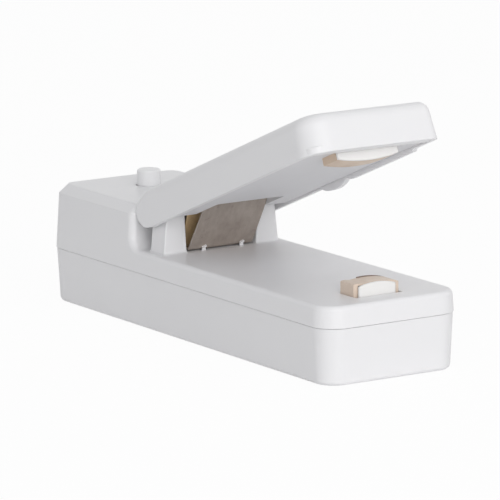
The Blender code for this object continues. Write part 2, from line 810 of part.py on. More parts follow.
def tail_curve(inset, from_low):
    """Side outline (u, v) of the tail: a short curve below, a longer one above, drawn in by inset."""
    half = lever_thickness / 2 - inset
    low = tail_low_length - inset
    high = tail_top_length - inset
    points = []
    steps = 2 * corner_steps
    if from_low:
        for k in range(steps):
            angle = math.pi / 2 * k / steps
            points.append((-lever_tail + tail_low_length - low * math.sin(angle),
                           lever_middle - half * math.cos(angle)))
    for k in range(steps + 1):
        angle = math.pi / 2 * k / steps
        points.append((-lever_tail + tail_top_length - high * math.cos(angle),
                       lever_middle + half * math.sin(angle)))
    return points


def build_lever_shell(axis):
    """Lever: drafted shell with rounded top edges and a rounded tail, open below."""
    rim = -lever_rim_drop
    rows = fillet_rows(lever_fillet, 4)
    loops = [lever_plan(rim, 0, -lever_tail, lever_reach)]
    for inset, left in rows:
        v = lever_top - left
        loops.append(lever_plan(v, lever_inset(v) + inset, -lever_tail, lever_reach))
    shell = loft("lever_shell", loops, white_plastic)
    outline = [(lever_reach + overrun, rim)]
    outline += tail_curve(0, True)
    outline.append((lever_reach + overrun, lever_top))
    wide = lever_half + overrun
    keep(shell, prism("tail", outline, 1, -wide, wide))
    # hollow, open at the rim and at the way for the posts
    roof = lever_top - lever_wall
    below = rim - overrun
    hollow = loft("hollow", [lever_plan(v, lever_inset(v) + more, -lever_tail, lever_reach)
                             for v, more in ((below, lever_wall), (roof - lever_wall, lever_wall),
                                             (roof, 2 * lever_wall))])
    outline = [(lever_reach, below), (-tail_way, below)]
    outline += tail_curve(lever_wall, False)
    outline.append((lever_reach, roof))
    keep(hollow, prism("hollow_side", outline, 1, -wide, wide))
    cut(shell, hollow)
    # low step and lug on the far rim
    outer = lever_half
    inner = outer - lever_wall
    step = [(rim_step_start, rim + lever_wall), (rim_step_start + rim_step_height, rim - rim_step_height),
            (rim_step_start + rim_step_length - rim_step_height, rim - rim_step_height),
            (rim_step_start + rim_step_length, rim + lever_wall)]
    add(shell, prism("rim_step", step, 1, inner, outer - lever_inset(rim + lever_wall)))
    lug = [(rim_lug_start, rim + lever_wall)]
    for k in range(2 * corner_steps + 1):
        share = k / (2 * corner_steps)
        lug.append((rim_lug_start + rim_lug_length * share,
                    rim - rim_lug_height * math.sin(math.pi * share) ** rim_lug_power))
    lug.append((rim_lug_start + rim_lug_length, rim + lever_wall))
    add(shell, prism("rim_lug", lug, 1, inner, outer - lever_inset(rim + lever_wall)))
    # blind holes for the pin's ends
    reach = pin_half() + gap
    cut(shell, turned("pin_way", [(pin_radius + gap, -reach), (pin_radius + gap, reach)],
                      (0, 0, 0), axis=1))
    shell.parent = axis
    return shell


def pin_half():
    """Half the pin's length: to the lever's inner wall, plus its bite."""
    return lever_half - lever_inset(0) - lever_wall + pin_bite


def build_lever_cover(axis):
    """Plate let into the lever's rim, with the leaf's notch and the pad's pocket."""
    low = -lever_rim_drop + cover_recess
    high = low + cover_thickness
    front = lever_reach - lever_wall - gap
    cover = loft("lever_cover", [
        rounded_plan(cover_rear, front - lever_inset(v),
                     lever_half - lever_inset(v) - lever_wall - gap,
                     lever_wall / 2, lever_corner - lever_wall - gap, v,
                     lever_far_corner - lever_wall - gap)
        for v in (low, high)], white_plastic)
    cut(cover, box("notch", (cover_rear - overrun, -notch_half, low - overrun),
                   (cover_rear + notch_length, notch_half, high + overrun)))
    pad_front = lever_reach - pad_setback
    cut(cover, box("pocket", (pad_front - pad_length - gap, -pad_half - gap, low - overrun),
                   (pad_front + gap, pad_half + gap, high + overrun)))
    cover.parent = axis
    return cover


def build_pad(axis):
    """Crowned pad below the lever's tip, rooted above the cover, and the tape strap round it."""
    radius, centre = arch_circle(pad_half, pad_side, pad_crown)
    front = lever_reach - pad_setback
    rear = front - pad_length
    lip = front - face_lip
    rim = -lever_rim_drop
    root = cover_recess + cover_thickness + gap
    thin = skin_gap + tape_thickness
    face = raised(arch_outline(pad_half, radius, centre, -root - pad_root, -1), rim)
    core = raised(arch_outline(pad_half - thin, radius - thin, centre, -root - pad_root, -1), rim)
    pad = prism("pad_block", core, 0, rear, lip + face_lip / 2, white_rubber)
    add(pad, prism("face", face, 0, lip, front))
    add(pad, box("root", (rear - pad_root_rim, -pad_half - pad_root_rim, rim + root),
                 (front + pad_root_rim, pad_half + pad_root_rim, rim + root + pad_root)))
    tape = raised(strap_outline(pad_half - tape_thickness, tape_thickness, radius - tape_thickness,
                                tape_thickness, centre, -root + gap, -1), rim)
    strap = prism("upper_tape", tape, 0, rear, lip - gap, beige_tape)
    for piece in (pad, strap):
        piece.parent = axis
    return pad


def main():
    build_lower_case()
    build_upper_case()
    build_battery_door()
    build_heater()
    build_cells()
    build_screws()
    build_button()
    build_wires()
    build_leaf("leaf_spring", leaf_front, leaf_foot, leaf_height, leaf_lean_deg, leaf_half, spring_steel)
    build_leaf("contact_plate", leaf_front - leaf_foot - gap - leaf_thickness, brass_foot,
               brass_height, brass_lean_deg, leaf_half - brass_margin, brass)
    pin = turned("hinge_pin", [(pin_radius, -pin_half()), (pin_radius, pin_half())], (0, 0, 0),
                 bright_steel, axis=1)
    pin.location = (hinge_x, 0, hinge_height)
    axis = bpy.data.objects.new("lever_axis", None)
    bpy.context.scene.collection.objects.link(axis)
    axis.location = (hinge_x, 0, hinge_height)
    axis.rotation_euler = (0, -math.radians(lever_open_deg), 0)
    build_lever_shell(axis)
    build_lever_cover(axis)
    build_pad(axis)


main()
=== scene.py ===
import math

import bmesh
import bpy
import numpy as np
from mathutils import Matrix


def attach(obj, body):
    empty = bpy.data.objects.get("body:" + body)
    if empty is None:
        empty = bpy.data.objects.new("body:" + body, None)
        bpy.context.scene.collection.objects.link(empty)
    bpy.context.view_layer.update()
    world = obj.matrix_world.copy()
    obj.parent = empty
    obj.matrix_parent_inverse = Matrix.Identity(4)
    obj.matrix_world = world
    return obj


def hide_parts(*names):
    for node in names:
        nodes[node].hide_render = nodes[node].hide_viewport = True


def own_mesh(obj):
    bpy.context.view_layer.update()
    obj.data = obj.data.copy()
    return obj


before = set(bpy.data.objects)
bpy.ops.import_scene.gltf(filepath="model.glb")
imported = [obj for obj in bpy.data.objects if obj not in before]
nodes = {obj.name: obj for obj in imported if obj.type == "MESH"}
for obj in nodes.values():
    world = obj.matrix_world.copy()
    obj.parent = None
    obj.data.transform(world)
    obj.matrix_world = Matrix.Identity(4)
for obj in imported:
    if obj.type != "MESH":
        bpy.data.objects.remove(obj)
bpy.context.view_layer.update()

mm = 0.001
quarter = math.pi / 2
weld = 0.002 * mm
sharpEdge = math.radians(60)
print("stage: frame loaded,", len(nodes), "nodes")


def gridQuads(rows, columns, start):
    # the four corners of every cell of a grid of vertices, row after row
    first = (np.arange(rows - 1)[:, None] * columns + np.arange(columns - 1)).ravel() + start
    return np.stack([first, first + 1, first + columns + 1, first + columns], axis=1)


def newPiece(name, points, faces):
    # millimetre points and lists of vertex numbers become an object whose faces point outwards
    mesh = bpy.data.meshes.new(name)
    mesh.from_pydata((np.asarray(points) * mm).tolist(), [], faces)
    work = bmesh.new()
    work.from_mesh(mesh)
    bmesh.ops.remove_doubles(work, verts=work.verts, dist=weld)
    bmesh.ops.recalc_face_normals(work, faces=work.faces)
    work.to_mesh(mesh)
    work.free()
    made = bpy.data.objects.new(name, mesh)
    bpy.context.scene.collection.objects.link(made)
    return made


def surface(name, patches, topFaceUp=True):
    # patches are grids (rows, columns, 3) or flat outlines (count, 3) that share their borders
    # and become one sheet
    points, faces, start = [], [], 0
    for patch in patches:
        if patch.ndim == 3:
            faces += gridQuads(*patch.shape[:2], start).tolist()
        else:
            faces.append(list(range(start, start + len(patch))))
        points.append(patch.reshape(-1, 3))
        start += len(points[-1])
    made = newPiece(name, np.concatenate(points), faces)
    if topFaceUp:
        centres = np.zeros(len(made.data.polygons) * 3)
        made.data.polygons.foreach_get("center", centres)
        highest = int(centres.reshape(-1, 3)[:, 2].argmax())
        if made.data.polygons[highest].normal.z < 0:
            made.data.flip_normals()
    return made


def bake(piece):
    # the piece's modifiers become part of its mesh
    evaluated = piece.evaluated_get(bpy.context.evaluated_depsgraph_get())
    mesh = bpy.data.meshes.new_from_object(evaluated)
    piece.modifiers.clear()
    piece.data = mesh


def modify(piece, kind, **settings):
    change = piece.modifiers.new(kind.lower(), kind)
    for key, value in settings.items():
        setattr(change, key, value)


def carve(piece, tool):
    modify(piece, "BOOLEAN", operation="DIFFERENCE", solver="EXACT", object=tool)
    bake(piece)
    bpy.data.objects.remove(tool, do_unlink=True)


def dress(piece, body, finish, stands=(), sharp=50.0):
    # shade it, give it its finish, and let it ride on its body
    piece.data.shade_smooth()
    piece.data.set_sharp_from_angle(angle=math.radians(sharp))
    modify(piece, "WEIGHTED_NORMAL", keep_sharp=True)
    piece.data.materials.clear()
    piece.data.materials.append(finish)
    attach(piece, body)
    if stands:
        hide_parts(*stands)
    return piece


def cadCopy(node, name, body, finish, sharp=35.0):
    # a merged copy of a CAD node, so that its round faces shade smoothly
    mesh = nodes[node].data.copy()
    work = bmesh.new()
    work.from_mesh(mesh)
    bmesh.ops.remove_doubles(work, verts=work.verts, dist=weld)
    work.to_mesh(mesh)
    work.free()
    if mesh.attributes.get("custom_normal"):
        mesh.attributes.remove(mesh.attributes["custom_normal"])
    made = bpy.data.objects.new(name, mesh)
    bpy.context.scene.collection.objects.link(made)
    return dress(made, body, finish, stands=(node,), sharp=sharp)


def slab(name, outline, low, high, edge, place, steps=3):
    # a closed outline carried from low to high; row by row the rim stands in by edge*(1-sin)
    # and lies edge*(1-cos) behind its face, and a mitre keeps the corners' offset even
    shape = np.asarray(outline, float)
    ahead = np.roll(shape, -1, 0) - shape
    ahead /= np.linalg.norm(ahead, axis=1)[:, None]
    behind = np.roll(ahead, 1, 0)
    outOne = np.stack([ahead[:, 1], -ahead[:, 0]], 1)
    outTwo = np.stack([behind[:, 1], -behind[:, 0]], 1)
    mitre = (outOne + outTwo) / (1.0 + (outOne * outTwo).sum(1)[:, None]).clip(0.3)
    turn = np.linspace(0, quarter, steps + 1)
    inset = edge * (1 - np.sin(turn))
    depth = edge * (1 - np.cos(turn))
    insets = np.concatenate([inset, inset[::-1]])[:, None, None]
    spread = shape - insets * mitre
    low = np.broadcast_to(low, len(shape))
    high = np.broadcast_to(high, len(shape))
    levels = np.concatenate([low + depth[:, None], high - depth[::-1][:, None]])
    rows, count = levels.shape
    points = place(spread[..., 0], spread[..., 1], levels)
    looped = np.concatenate([points, points[:, :1]], axis=1)
    faces = gridQuads(rows, count + 1, 0).tolist()
    flat = looped.reshape(-1, 3)
    faces.append(list(range(count)))
    faces.append(list(range((rows - 1) * (count + 1), (rows - 1) * (count + 1) + count)))
    return newPiece(name, flat, faces)


def turned(name, profile, centre, steps=56):
    # a profile of (radius, height) turned round an upright axis, closed at its poles
    profile = np.asarray(profile, float)
    turn = np.linspace(0, 4 * quarter, steps + 1)
    points = np.stack([
        centre[0] + profile[:, 0, None] * np.cos(turn),
        centre[1] + profile[:, 0, None] * np.sin(turn),
        profile[:, 1, None] + 0 * turn], -1)
    return surface(name, [points], topFaceUp=False)


def roundCorners(corners, radii, steps=6):
    # a polygon whose corners are arcs that touch both sides, as one closed line
    corners = np.asarray(corners, float)
    line = []
    for k, radius in enumerate(radii):
        here, into, out = corners[k], corners[k - 1], corners[(k + 1) % len(corners)]
        one = (into - here) / np.linalg.norm(into - here)
        two = (out - here) / np.linalg.norm(out - here)
        half = math.acos(max(-1.0, min(1.0, float(one @ two)))) / 2
        if radius <= 0 or half > quarter - 0.01:
            line.append(here[None])
            continue
        middle = here + (one + two) / np.linalg.norm(one + two) * radius / math.sin(half)
        start = here + one * radius / math.tan(half) - middle
        end = here + two * radius / math.tan(half) - middle
        angle = math.atan2(start[0] * end[1] - start[1] * end[0], float(start @ end))
        turn = np.linspace(0, angle, steps + 1)[:, None]
        side = np.array([-start[1], start[0]])
        line.append(middle + start * np.cos(turn) + side * np.sin(turn))
    return np.concatenate(line)


def mix(a, b, share):
    return a + (b - a) * share


def mirrored(patch):
    return patch * np.array([1.0, -1.0, 1.0])


class signal:
    # one socket of a finish, with arithmetic that adds Math nodes
    def __init__(self, finish, socket):
        self.finish, self.socket = finish, socket

    def maths(self, operation, first, second):
        return self.finish.node("ShaderNodeMath", {"operation": operation}, {0: first, 1: second})

    def __add__(self, other):
        return self.maths("ADD", self, other)

    def __mul__(self, other):
        return self.maths("MULTIPLY", self, other)

    def __rsub__(self, other):
        return self.maths("SUBTRACT", other, self)

    __radd__ = __add__


class finishTree:
    # the nodes of a material or a world: uniform values sit on the shader's own sockets
    def __init__(self, name, world=None, **uniform):
        self.material = world or bpy.data.materials.new(name)
        self.material.use_nodes = True
        self.tree = self.material.node_tree
        if world is None:
            self.shader = self.tree.nodes["Principled BSDF"]
            self.place = self.node("ShaderNodeTexCoord", out="Object")
        for key, value in uniform.items():
            self.shader.inputs[key].default_value = value

    def plug(self, value, socket):
        if isinstance(value, signal):
            self.tree.links.new(value.socket, socket)
        else:
            socket.default_value = value

    def node(self, kind, settings=None, sockets=None, out=0):
        made = self.tree.nodes.new(kind)
        for key, value in (settings or {}).items():
            if key == "stops":
                while len(made.color_ramp.elements) < len(value):
                    made.color_ramp.elements.new(0.5)
                for element, (position, colour) in zip(made.color_ramp.elements, value):
                    element.position = position
                    element.color = (*colour, 1.0)
            else:
                setattr(made, key, value)
        for key, value in (sockets or {}).items():
            self.plug(value, made.inputs[key])
        return signal(self, made.outputs[out])

    def noise(self, scale, detail=2.0, roughness=0.5, stretch=None):
        place = self.place
        if stretch:
            place = self.node("ShaderNodeMapping", sockets={"Vector": place, "Scale": stretch})
        return self.node("ShaderNodeTexNoise", sockets={
            "Vector": place, "Scale": scale, "Detail": detail, "Roughness": roughness})

    def axes(self):
        # the place along x, y and z
        split = self.node("ShaderNodeSeparateXYZ", sockets={0: self.place}).socket.node
        return [signal(self, socket) for socket in split.outputs]

    def ramp(self, value, stops):
        return self.node("ShaderNodeValToRGB", {"stops": stops}, {"Fac": value})

    def within(self, value, low, high, newLow=0.0, newHigh=1.0):
        return self.node("ShaderNodeMapRange", {"interpolation_type": "SMOOTHSTEP"}, {
            "Value": value, "From Min": low, "From Max": high, "To Min": newLow, "To Max": newHigh})

    def blend(self, share, first, second):
        return self.node("ShaderNodeMix", {"data_type": "RGBA"}, {0: share, 6: first, 7: second}, 2)

    def feed(self, **links):
        for key, value in links.items():
            self.plug(value, self.shader.inputs[key.replace("_", " ")])

    def seen(self):
        # 1 for rays from the camera and for those that gloss or glass sends on, else 0
        rays = self.node("ShaderNodeLightPath").socket.node.outputs
        kinds = ("Camera", "Glossy", "Transmission")
        return sum(signal(self, rays[f"Is {kind} Ray"]) for kind in kinds)

    def bump(self, height, distance, strength=1.0):
        self.feed(Normal=self.node("ShaderNodeBump", sockets={
            "Height": height, "Distance": distance, "Strength": strength}))


def rgb(red, green, blue):
    return (red, green, blue, 1.0)


noiseSpan = (0.3, 0.7)    # where nearly all values of a noise lie


def mouldedPlastic(name, look):
    # glossy moulding: faint colour drift, gloss that varies a little, a fine orange-peel skin
    made = finishTree(name, **{"IOR": 1.48, "Specular IOR Level": look["specular"]})
    drift = made.noise(look["driftScale"], 2.0)
    made.feed(Base_Color=made.blend(drift, rgb(*look["pale"]), rgb(*look["deep"])))
    wear = made.noise(look["wearScale"], 4.0, 0.6)
    made.feed(Roughness=made.within(wear, *noiseSpan, look["glossLow"], look["glossHigh"]))
    peel = made.noise(look["peelScale"], 2.0)
    wave = made.noise(look["waveScale"], 1.0)
    made.bump(peel * look["peelHeight"] + wave * look["waveHeight"], mm)
    return made.material


whiteLook = dict(pale=(0.838, 0.836, 0.85), deep=(0.814, 0.812, 0.828), driftScale=26.0,
                 wearScale=210.0, glossLow=0.34, glossHigh=0.40, peelScale=2400.0,
                 peelHeight=0.0001, waveScale=45.0, waveHeight=0.002, specular=0.4)
coverLook = {**whiteLook, "pale": (0.755, 0.755, 0.775), "deep": (0.735, 0.735, 0.755),
             "glossLow": 0.5, "glossHigh": 0.58, "specular": 0.25}
buttonLook = {**whiteLook, "pale": (0.9, 0.9, 0.91), "deep": (0.88, 0.88, 0.89),
              "peelScale": 1900.0, "glossLow": 0.32}
switchLook = {**whiteLook, "pale": (0.035, 0.035, 0.037), "deep": (0.02, 0.02, 0.022)}
wireLook = {**whiteLook, "pale": (0.5, 0.035, 0.03), "deep": (0.4, 0.025, 0.02)}
bodyWhite = mouldedPlastic("bodyWhite", whiteLook)
leverWhite = mouldedPlastic("leverWhite", {**whiteLook, "driftScale": 31.0})
coverWhite = mouldedPlastic("coverWhite", coverLook)
buttonWhite = mouldedPlastic("buttonWhite", buttonLook)
switchBlack = mouldedPlastic("switchBlack", switchLook)
wireRed = mouldedPlastic("wireRed", wireLook)

ceramicLook = dict(driftScale=90.0, poreScale=2600.0, pale=(0.86, 0.855, 0.845),
                   deep=(0.82, 0.812, 0.80), pore=(0.70, 0.68, 0.66), poreSpan=(0.68, 0.78),
                   gloss=(0.42, 0.58), height=0.012)


def ceramicFinish(look):
    # fired white block: matt, with a grain of fine pores
    made = finishTree("heaterCeramic", **{"IOR": 1.55})
    drift = made.noise(look["driftScale"], 3.0)
    pores = made.noise(look["poreScale"], 3.0, 0.7)
    colour = made.blend(drift, rgb(*look["pale"]), rgb(*look["deep"]))
    depth = made.within(pores, *look["poreSpan"])
    made.feed(Base_Color=made.blend(depth, colour, rgb(*look["pore"])))
    made.feed(Roughness=made.within(pores, *noiseSpan, *look["gloss"]))
    made.bump(pores, mm, look["height"])
    return made.material


siliconeLook = dict(cloudScale=150.0, pale=(0.86, 0.85, 0.84), deep=(0.82, 0.81, 0.80),
                    gloss=(0.46, 0.60), grainScale=1500.0, height=0.01)


def siliconeFinish(look):
    # soft white pad: satin, very slightly cloudy
    made = finishTree("padSilicone", **{"IOR": 1.43})
    cloud = made.noise(look["cloudScale"], 3.0)
    made.feed(Base_Color=made.blend(cloud, rgb(*look["pale"]), rgb(*look["deep"])))
    made.feed(Roughness=made.within(cloud, *noiseSpan, *look["gloss"]))
    made.bump(made.noise(look["grainScale"], 2.0), mm, look["height"])
    return made.material


lowerTapeLook = dict(pitch=0.00042, climb=0.6, driftScale=260.0, stainScale=130.0,
                     stainSpan=(0.56, 0.74), stainShare=0.4, pale=(0.82, 0.70, 0.60),
                     deep=(0.65, 0.52, 0.42), stain=(0.55, 0.42, 0.30), gloss=(0.38, 0.52),
                     coat=0.15, height=0.03)
upperTapeLook = {**lowerTapeLook, "pale": (0.73, 0.59, 0.47), "deep": (0.58, 0.44, 0.325),
                 "stain": (0.46, 0.31, 0.20)}
# dark brown colours for the band along the lower strap's rear edge
darkBandLook = {**lowerTapeLook, "pale": (0.26, 0.20, 0.165), "deep": (0.15, 0.11, 0.09),
           "stain": (0.12, 0.09, 0.07)}


def tapeFinish(name, look):
    # coated glass cloth: two sets of threads, sin(2 pi (x + climb z) / pitch) * sin(2 pi y / pitch)
    made = finishTree(name, **{"IOR": 1.38, "Coat Roughness": 0.25})
    x, y, z = made.axes()
    turns = 4 * quarter / look["pitch"]
    threadOne = made.node("ShaderNodeMath", {"operation": "SINE"}, {0: y * turns})
    threadTwo = made.node("ShaderNodeMath", {"operation": "SINE"},
                          {0: (x + z * look["climb"]) * turns})
    weave = threadOne * threadTwo * 0.5 + 0.5
    drift = made.noise(look["driftScale"], 4.0, 0.6)
    stains = made.within(made.noise(look["stainScale"], 3.0, 0.65), *look["stainSpan"])
    cloth = made.blend(weave * 0.5 + drift * 0.5, rgb(*look["pale"]), rgb(*look["deep"]))
    made.feed(Base_Color=made.blend(stains * look["stainShare"], cloth, rgb(*look["stain"])))
    made.feed(Roughness=made.within(drift, *noiseSpan, *look["gloss"]), Coat_Weight=look["coat"])
    made.bump(weave, mm, look["height"])
    return made.material


metalDetail = dict(streakShare=0.45, spotScale=2.3, spotSpan=(0.56, 0.76), spotMetal=0.8)


def metalFinish(name, look):
    # rolled strip or plated wire: brushed streaks, clouded patches and darker spots
    made = finishTree(name)
    share = metalDetail["streakShare"]
    streaks = made.noise(look["streakScale"], 3.0, 0.6, stretch=look["stretch"])
    cloud = made.noise(look["cloudScale"], 3.0, 0.6)
    spotNoise = made.noise(look["cloudScale"] * metalDetail["spotScale"], 4.0, 0.7)
    spots = made.within(spotNoise, *metalDetail["spotSpan"])
    colour = made.ramp(streaks * share + cloud * (1 - share), look["stops"])
    made.feed(Base_Color=made.blend(spots * look["spotShare"], colour, rgb(*look["spot"])))
    made.feed(Roughness=made.within(cloud * 0.5 + streaks * 0.5, *noiseSpan, *look["gloss"]))
    made.feed(Metallic=made.within(spots, 0.0, 1.0, look["metal"],
                                   look["metal"] * metalDetail["spotMetal"]))
    made.bump(streaks, mm, look["height"])
    return made.material


springSteel = metalFinish("springSteel", dict(
    streakScale=900.0, stretch=(1.0, 1.0, 0.12), cloudScale=240.0, spotShare=0.45,
    spot=(0.22, 0.175, 0.15), gloss=(0.42, 0.58), metal=0.45, height=0.01,
    stops=[(0.25, (0.33, 0.28, 0.245)), (0.5, (0.43, 0.375, 0.335)), (0.78, (0.54, 0.49, 0.45))]))
brassStrip = metalFinish("brassStrip", dict(
    streakScale=700.0, stretch=(1.0, 1.0, 0.15), cloudScale=200.0, spotShare=0.35,
    spot=(0.42, 0.27, 0.13), gloss=(0.45, 0.6), metal=0.35, height=0.008,
    stops=[(0.2, (0.62, 0.43, 0.23)), (0.5, (0.74, 0.54, 0.31)), (0.8, (0.84, 0.65, 0.40))]))
platedSteel = metalFinish("platedSteel", dict(
    streakScale=1200.0, stretch=(1.0, 0.3, 1.0), cloudScale=300.0, spotShare=0.3,
    spot=(0.30, 0.29, 0.28), gloss=(0.16, 0.3), metal=1.0, height=0.006,
    stops=[(0.2, (0.50, 0.50, 0.51)), (0.5, (0.62, 0.62, 0.63)), (0.8, (0.72, 0.72, 0.73))]))

cellLook = dict(ringStart=0.0255, ringEnd=0.0285, ringEdge=0.0002, driftScale=80.0,
                pale=(0.10, 0.13, 0.18), deep=(0.075, 0.10, 0.14), ring=(0.55, 0.56, 0.58),
                wearScale=400.0, gloss=(0.24, 0.4), grainScale=900.0, height=0.006)


def cellFinish(look):
    # plain wrapped cell: grey-blue sleeve with a paler ring near one end
    made = finishTree("cellSleeve", **{"IOR": 1.5})
    x = made.axes()[0]
    edge = look["ringEdge"]
    begun = made.within(x, look["ringStart"], look["ringStart"] + edge)
    ring = begun * (1 - made.within(x, look["ringEnd"], look["ringEnd"] + edge))
    drift = made.noise(look["driftScale"], 2.0)
    sleeve = made.blend(drift, rgb(*look["pale"]), rgb(*look["deep"]))
    made.feed(Base_Color=made.blend(ring, sleeve, rgb(*look["ring"])))
    made.feed(Roughness=made.within(made.noise(look["wearScale"], 3.0), *noiseSpan, *look["gloss"]))
    made.bump(made.noise(look["grainScale"]), mm, look["height"])
    return made.material


ceramic = ceramicFinish(ceramicLook)
silicone = siliconeFinish(siliconeLook)
lowerTapeFinish = tapeFinish("lowerTapeCloth", lowerTapeLook)
upperTapeFinish = tapeFinish("upperTapeCloth", upperTapeLook)
darkBandFinish = tapeFinish("darkBandCloth", darkBandLook)
cellSleeve = cellFinish(cellLook)
print("stage: finishes")


bodyShape = dict(halfLength=60.0, halfWidth=18.35, corner=5.8, parting=13.2, deck=18.0,
                 top=28.1, blockFront=-22.4, draft=0.066, deckRound=1.1, uprightRound=1.7,
                 chamfer=2.1, cove=3.4, wall=0.9, rimRound=0.1, fan=7.0, foot=13.03)
bodySteps = dict(corner=13, deck=15, cove=12, upright=4, mitre=6, top=7, rear=12)
rowShares = np.array([0, 0.08, 0.2, 0.36, 0.52, 0.68, 0.82, 0.92, 1.0])
wallShares = np.array([0, 0.08, 0.5, 0.9])
acrossShares = np.array([0, 0.03, 0.2, 0.5, 0.8, 0.97, 1.0])


def across(left, right):
    # straight lines from each left point to its right one
    return mix(left[..., None, :], right[..., None, :], acrossShares[:, None])


def pathSteps(start, end, count):
    # even steps that leave out the start, where the stretch before ends
    return np.linspace(start, end, count + 1)[1:]


def upperBodySheet(shape, steps):
    # the sharp edge between wall and top runs along a path: front corner, deck, cove, block front,
    # front chamfer, block top, rear corner. At each station rows turn from the wall to the top.
    c, corner, rho = shape["chamfer"], shape["corner"], shape["uprightRound"]
    spineX, spineY = shape["halfLength"] - corner, -(shape["halfWidth"] - corner)
    front, cove = shape["blockFront"], shape["cove"]
    level, rising = steps["corner"] + steps["deck"], steps["upright"]

    def reach(height, inset=0.0):
        return corner - shape["draft"] * (height - shape["parting"]).clip(0) - inset

    # stations up to the chamfer: spine x, angle of the wall, height, inward way and radius
    cornerTurn = np.linspace(0, -quarter, steps["corner"])
    deckX = pathSteps(spineX, front + cove, steps["deck"])
    coveTurn = pathSteps(3 * quarter, 2 * quarter, steps["cove"])
    coveX = front + cove + cove * np.cos(coveTurn)
    coveZ = shape["deck"] + cove + cove * np.sin(coveTurn)
    uprightZ = pathSteps(shape["deck"] + cove, shape["top"] - c, rising)
    x = np.concatenate([np.full(len(cornerTurn), spineX), deckX, coveX, np.full(rising, front)])
    angle = np.concatenate([cornerTurn, np.full(len(x) - len(cornerTurn), -quarter)])
    z = np.concatenate([np.full(level, shape["deck"]), coveZ, uprightZ])
    wayX = np.concatenate([np.zeros(level), np.cos(coveTurn), np.full(rising, -1.0)])
    wayZ = np.concatenate([np.full(level, -1.0), np.sin(coveTurn), np.zeros(rising)])
    grow = np.concatenate([np.zeros(level), pathSteps(0, 1, steps["cove"]), np.ones(rising)])
    radius = mix(shape["deckRound"], rho, grow * grow * (3 - 2 * grow))
    phi = rowShares * quarter
    along = radius[:, None] * (1 - np.sin(phi))
    inset = radius[:, None] * (1 - np.cos(phi))
    rowZ = z[:, None] + along * wayZ[:, None]
    out = reach(rowZ, inset)
    roundRows = np.stack([x[:, None] + along * wayX[:, None] + out * np.cos(angle)[:, None],
                          spineY + out * np.sin(angle)[:, None], rowZ], -1)
    # front chamfer: level sections whose corner arc shrinks to a point at the top
    q = pathSteps(0, c, steps["mitre"])[:, None]
    f = rowShares[None]
    rise = q * f
    small = rho * (1 - rise / c)
    phi = quarter * (1 - f ** (1 + 3 * q / c))
    rowZ = shape["top"] - c + rise
    mitreX = front - rise - small + small * np.cos(phi) - (c - rho) * (q / c) * (1 - f)
    mitreY = spineY - reach(rowZ) + rise + small - small * np.sin(phi)
    mitreRows = np.stack([mitreX, mitreY, rowZ + 0 * small], -1)
    # block top: the chamfer's rows, straight and then round the rear corner
    straightX = pathSteps(front - c, -spineX, steps["top"])
    rearTurn = pathSteps(-quarter, -2 * quarter, steps["rear"])
    topX = np.concatenate([straightX, np.full(len(rearTurn), -spineX)])
    topAngle = np.concatenate([np.full(len(straightX), -quarter), rearTurn])[:, None]
    rowZ = shape["top"] - c * (1 - rowShares)[None] + 0 * topAngle
    out = reach(rowZ, c * rowShares)
    topRows = np.stack([topX[:, None] + out * np.cos(topAngle),
                        spineY + out * np.sin(topAngle), rowZ], -1)
    rows = np.concatenate([roundRows, mitreRows, topRows])
    # the wall below the first row: its foot keeps an even pace where the path climbs
    climbing = len(coveTurn) + rising + len(q)
    fan = front - c - shape["fan"]
    foot = np.concatenate([x[:level], pathSteps(front + cove, fan, climbing),
                           pathSteps(fan, -spineX, len(straightX)),
                           np.full(len(rearTurn), -spineX)])
    head = np.concatenate([x[:level], rows[level:level + climbing, 0, 0], topX])
    angles = np.concatenate([angle, np.full(len(q), -quarter), topAngle[:, 0]])[:, None]
    wallZ = mix(shape["foot"], rows[:, :1, 2], wallShares)
    wallX = mix(foot[:, None], head[:, None], wallShares)
    out = reach(wallZ)
    wall = np.stack([wallX + out * np.cos(angles), spineY + out * np.sin(angles), wallZ], -1)
    left = np.concatenate([wall, rows], axis=1)
    right = mirrored(left)
    return [left, right, across(left[:, -1], right[:, -1]), across(left[0], right[0]),
            across(left[-1], right[-1])]


cutterEdge = 0.01
well = dict(x=(47.1, 54.0), y=(-6.45, 6.05), z=(15.0, 20.0))
button = dict(x=-43.3, radius=2.81, rise=3.8, edge=0.5, gap=0.3, dish=0.04, stem=1.3,
              stemLow=20.6, flange=3.9, flangeLow=25.1, flangeHigh=26.3, skirtHigh=28.0,
              cutLow=24.0, cutHigh=30.0)

upperBody = surface("upperBody", upperBodySheet(bodyShape, bodySteps))
modify(upperBody, "SOLIDIFY", thickness=bodyShape["wall"] * mm, offset=-1.0,
       use_even_offset=False)
bake(upperBody)


def boxTool(x, y, z):
    # a plain block between pairs of x, y and z, used only to cut
    outline = [(x[0], y[0]), (x[1], y[0]), (x[1], y[1]), (x[0], y[1])]
    return slab("tool", outline, *z, cutterEdge, lambda a, b, c: np.stack([a, b, c], -1), steps=1)


carve(upperBody, boxTool(**well))
hole = button["radius"] + button["gap"]
holeLine = [(0, button["cutLow"]), (hole, button["cutLow"]), (hole, button["cutHigh"]),
            (0, button["cutHigh"])]
carve(upperBody, turned("tool", holeLine, (button["x"], 0)))
modify(upperBody, "BEVEL", limit_method="ANGLE", angle_limit=sharpEdge, segments=2,
       width=bodyShape["rimRound"] * mm)
bake(upperBody)
dress(upperBody, "body", bodyWhite, stands=("upper_case",))

cadCopy("lower_case", "lowerBody", "body", bodyWhite)
cadCopy("battery_door", "batteryDoor", "door", bodyWhite)

posts = dict(front=-11.4, depth=6.0, inner=9.43, width=6.26, outerDraft=0.104, innerDraft=0.055,
             hinge=27.0, crown=2.9, edge=0.3, flare=0.6, foot=17.6, waist=22.0)
flareSteps = np.array([0, 0.15, 0.35, 0.65, 1.0])


